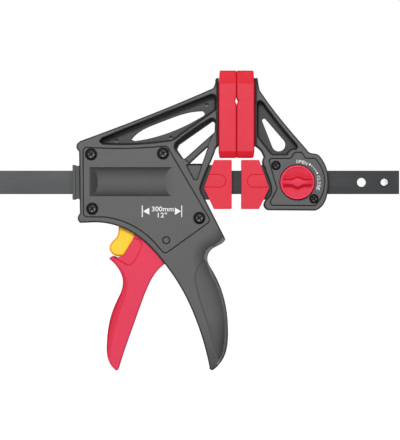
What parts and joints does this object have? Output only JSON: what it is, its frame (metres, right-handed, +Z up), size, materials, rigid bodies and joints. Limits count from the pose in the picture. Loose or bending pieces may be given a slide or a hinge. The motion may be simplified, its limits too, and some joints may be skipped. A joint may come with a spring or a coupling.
{
  "type": "quick release bar clamp",
  "caption": "One-handed bar clamp: pistol grip with trigger and release lever, sliding bar, soft jaw pads and a front jaw with a quarter-turn locking knob.",
  "frame": {"origin": "on the bar's centre line, in the plane where the two jaw faces meet", "axes": "+X along the bar towards its free front end, +Z up towards the jaw tips, covers and knob face -Y"},
  "size_m": [0.5409, 0.033, 0.2559],
  "materials": {
    "body_plastic": "fine textured glass-filled nylon",
    "guide_plastic": "fine textured",
    "soft_red": "soft matte",
    "red_plastic": "satin moulded",
    "yellow_plastic": "satin moulded",
    "bar_steel": "blackened, brushed lengthways",
    "plain_steel": "plain",
    "spring_steel": "drawn wire",
    "black_screw": "black oxide"
  },
  "bodies": {
    "handle": {"handle_body": "body_plastic", "body_cover": "body_plastic", "body_cover_screws": "black_screw", "rear_bar_guide": "body_plastic", "front_bar_guide": "guide_plastic", "rear_jaw_pad": "soft_red", "rear_lower_pad": "soft_red", "return_spring": "spring_steel", "brake_spring": "spring_steel", "release_pivot_pin": "plain_steel", "trigger_pivot_pin": "black_screw"},
    "trigger": {"trigger": "red_plastic"},
    "drive": {"drive_plates": "plain_steel"},
    "release": {"release_lever": "yellow_plastic"},
    "brake": {"brake_plate": "plain_steel"},
    "bar_and_jaw": {"bar": "bar_steel", "end_stop_pins": "plain_steel", "front_jaw_body": "body_plastic", "front_jaw_cover": "body_plastic", "front_jaw_cover_screws": "plain_steel", "front_jaw_bar_guide": "guide_plastic", "front_jaw_pad": "soft_red", "front_lower_pad": "soft_red", "lock_pin_guide": "plain_steel"},
    "knob": {"release_knob": "red_plastic", "lock_pin_spring": "spring_steel"},
    "lock_pin": {"lock_pin": "plain_steel", "lock_pin_dowel": "plain_steel"}
  },
  "joints": [
    {"name": "bar_slide", "type": "slide", "parent": "handle", "child": "bar_and_jaw", "axis": [1, 0, 0], "range_m": [0, 0.245]},
    {"name": "trigger_squeeze", "type": "hinge", "parent": "handle", "child": "trigger", "pos_m": [-0.06, 0, -0.0495], "axis": [0, -1, 0], "range_deg": [0, 28], "stiffness_Nm_per_rad": 1.2, "springref_deg": -14.32},
    {"name": "drive_plate_feed", "type": "slide", "parent": "handle", "child": "drive", "axis": [-1, 0, 0], "range_m": [0, 0.0158], "deforming": ["return_spring"]},
    {"name": "release_pull", "type": "hinge", "parent": "handle", "child": "release", "pos_m": [-0.099, 0, -0.03], "axis": [0, -1, 0], "range_deg": [0, 12], "stiffness_Nm_per_rad": 0.6, "springref_deg": -11.46},
    {"name": "brake_tilt", "type": "hinge", "parent": "handle", "child": "brake", "pos_m": [-0.112, 0, 0.02], "axis": [0, 1, 0], "range_deg": [0, 3.9], "deforming": ["brake_spring"]},
    {"name": "knob_turn", "type": "hinge", "parent": "bar_and_jaw", "child": "knob", "pos_m": [0.0518, 0, 0], "axis": [0, -1, 0], "range_deg": [0, 90]},
    {"name": "lock_pin_lift", "type": "slide", "parent": "bar_and_jaw", "child": "lock_pin", "axis": [0, -1, 0], "range_m": [0, 0.0058], "deforming": ["lock_pin_spring"]}
  ],
  "couplings": [
    {"joint": "drive_plate_feed", "follows": "trigger_squeeze", "m_per_rad": 0.032},
    {"joint": "brake_tilt", "follows": "release_pull", "ratio": 0.32},
    {"joint": "lock_pin_lift", "follows": "knob_turn", "m_per_rad": 0.0036924}
  ]
}
